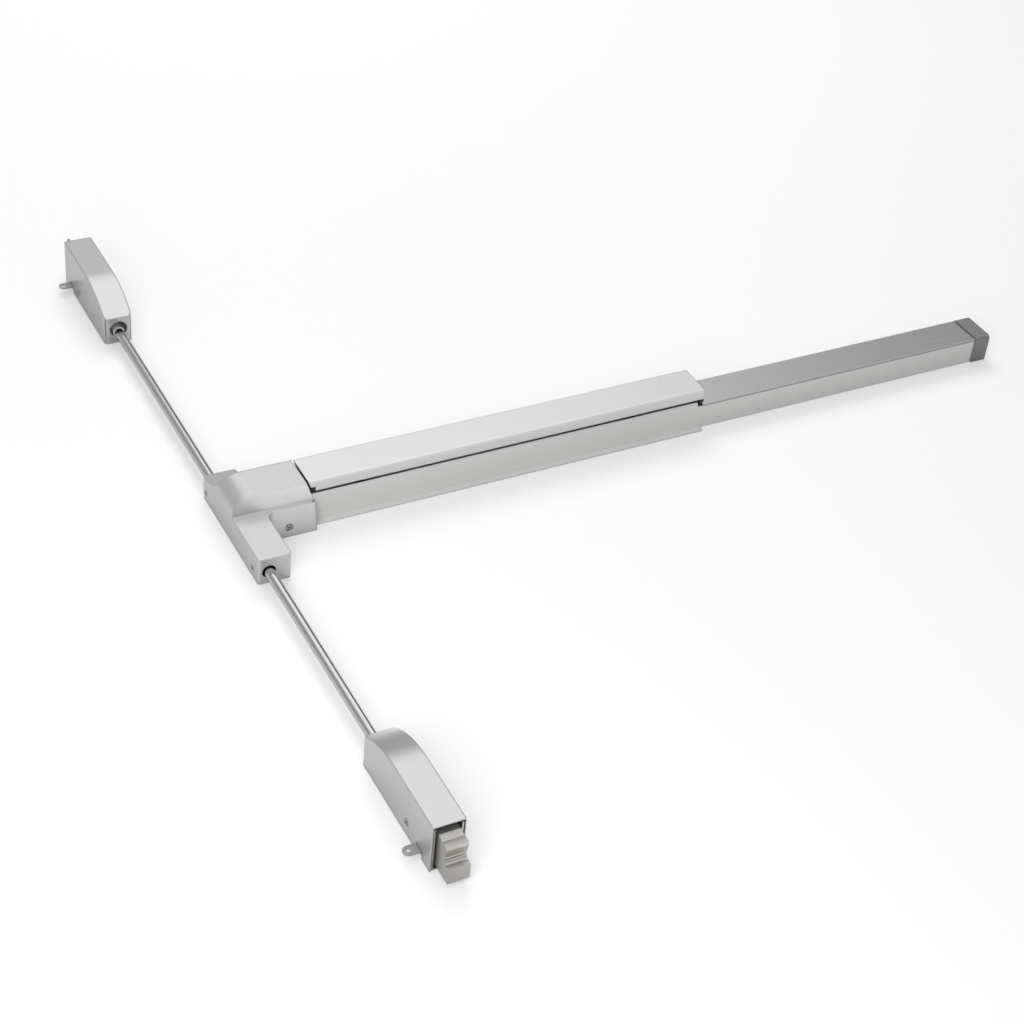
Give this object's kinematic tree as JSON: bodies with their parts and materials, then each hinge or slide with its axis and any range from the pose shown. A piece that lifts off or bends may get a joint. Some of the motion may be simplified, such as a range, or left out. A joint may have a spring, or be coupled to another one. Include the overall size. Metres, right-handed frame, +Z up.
{
  "type": "surface vertical rod exit device",
  "caption": "Push bar for a door that draws a top and a bottom latch bolt in through vertical rods, levers and bell cranks.",
  "frame": {"origin": "on the door's face, where the rods' line crosses the push bar's middle, at the centre of the case's door holes", "axes": "+Z up along the rods, +X along the push bar away from the case, +Y into the door"},
  "size_m": [1.1532, 0.0635, 1.208],
  "materials": {
    "cast_satin": "satin aluminium paint on a casting",
    "anodised_rail": "satin anodised extrusion",
    "satin_pad": "satin",
    "brushed_cover": "brushed lengthwise",
    "cap_metal": "fine-grained satin",
    "brushed_latch": "satin stainless sheet",
    "polished_rod": "bright ground bar",
    "cast_bolt": "dull investment casting",
    "plated_steel": "zinc plated",
    "screw_steel": "satin",
    "bushing_steel": "turned",
    "spring_steel": "bright wire",
    "black_plastic": "moulded"
  },
  "bodies": {
    "device_base": {"case_base_plate": "plated_steel", "case_cover": "cast_satin", "case_cover_screws": "screw_steel", "lever_pivot_studs": "plated_steel", "base_rail": "anodised_rail", "rail_screws": "screw_steel", "rail_back_plate": "anodised_rail", "rail_cover": "brushed_cover", "bar_guides": "black_plastic", "left_crank_bracket": "plated_steel", "right_crank_bracket": "plated_steel", "crank_pivot_pins": "screw_steel", "end_bracket": "plated_steel", "end_cap": "cap_metal", "end_cap_screw": "screw_steel", "bottom_latch_housing": "plated_steel", "bottom_latch_cover": "brushed_latch", "bottom_cover_screws": "screw_steel", "bottom_rod_bushing": "bushing_steel", "bottom_bolt_guide": "black_plastic", "top_latch_housing": "plated_steel", "top_latch_cover": "brushed_latch", "top_cover_screws": "screw_steel", "top_rod_bushing": "bushing_steel", "top_bolt_guide": "black_plastic", "bottom_latch_spring": "spring_steel", "top_latch_spring": "spring_steel"},
    "pad_assembly": {"push_pad": "satin_pad", "left_pad_plug": "black_plastic", "right_pad_plug": "black_plastic", "left_pad_bracket": "plated_steel", "right_pad_bracket": "plated_steel"},
    "left_crank": {"left_bell_crank": "plated_steel"},
    "right_crank": {"right_bell_crank": "plated_steel"},
    "actuator": {"actuator_bar": "plated_steel", "actuator_head": "plated_steel"},
    "top_lever": {"top_lift_lever": "plated_steel"},
    "bottom_lever": {"bottom_lift_lever": "plated_steel"},
    "top_rod_set": {"top_rod": "polished_rod", "top_lift_slide": "plated_steel", "top_rod_nuts": "plated_steel", "top_bolt": "cast_bolt"},
    "bottom_rod_set": {"bottom_rod": "polished_rod", "bottom_lift_slide": "plated_steel", "bottom_rod_nuts": "plated_steel", "bottom_bolt": "cast_bolt"}
  },
  "joints": [
    {"name": "pad_push", "type": "slide", "parent": "device_base", "child": "pad_assembly", "axis": [0, 1, 0], "range_m": [0, 0.0065], "stiffness_N_per_m": 2500, "springref_m": -0.006},
    {"name": "left_crank_turn", "type": "hinge", "parent": "device_base", "child": "left_crank", "pos_m": [0.17, -0.03, 0], "axis": [0, 0, -1], "range_deg": [0, 40.03]},
    {"name": "right_crank_turn", "type": "hinge", "parent": "device_base", "child": "right_crank", "pos_m": [0.55, -0.03, 0], "axis": [0, 0, -1], "range_deg": [0, 40.03]},
    {"name": "bar_slide", "type": "slide", "parent": "device_base", "child": "actuator", "axis": [1, 0, 0], "range_m": [0, 0.01143]},
    {"name": "top_lever_turn", "type": "hinge", "parent": "device_base", "child": "top_lever", "pos_m": [0.024, 0, 0.022], "axis": [0, -1, 0], "range_deg": [0, 48.19]},
    {"name": "bottom_lever_turn", "type": "hinge", "parent": "device_base", "child": "bottom_lever", "pos_m": [0.024, 0, -0.022], "axis": [0, 1, 0], "range_deg": [0, 48.19]},
    {"name": "top_rod_slide", "type": "slide", "parent": "device_base", "child": "top_rod_set", "axis": [0, 0, -1], "range_m": [0, 0.01796], "deforming": ["top_latch_spring"]},
    {"name": "bottom_rod_slide", "type": "slide", "parent": "device_base", "child": "bottom_rod_set", "axis": [0, 0, 1], "range_m": [0, 0.01796], "deforming": ["bottom_latch_spring"]}
  ],
  "couplings": [
    {"joint": "left_crank_turn", "follows": "pad_push", "rad_per_m": 107.43},
    {"joint": "right_crank_turn", "follows": "pad_push", "rad_per_m": 107.43},
    {"joint": "bar_slide", "follows": "pad_push", "ratio": 1.7579},
    {"joint": "top_lever_turn", "follows": "pad_push", "rad_per_m": 129.34},
    {"joint": "bottom_lever_turn", "follows": "pad_push", "rad_per_m": 129.34},
    {"joint": "top_rod_slide", "follows": "pad_push", "ratio": 2.7624},
    {"joint": "bottom_rod_slide", "follows": "pad_push", "ratio": 2.7624}
  ]
}
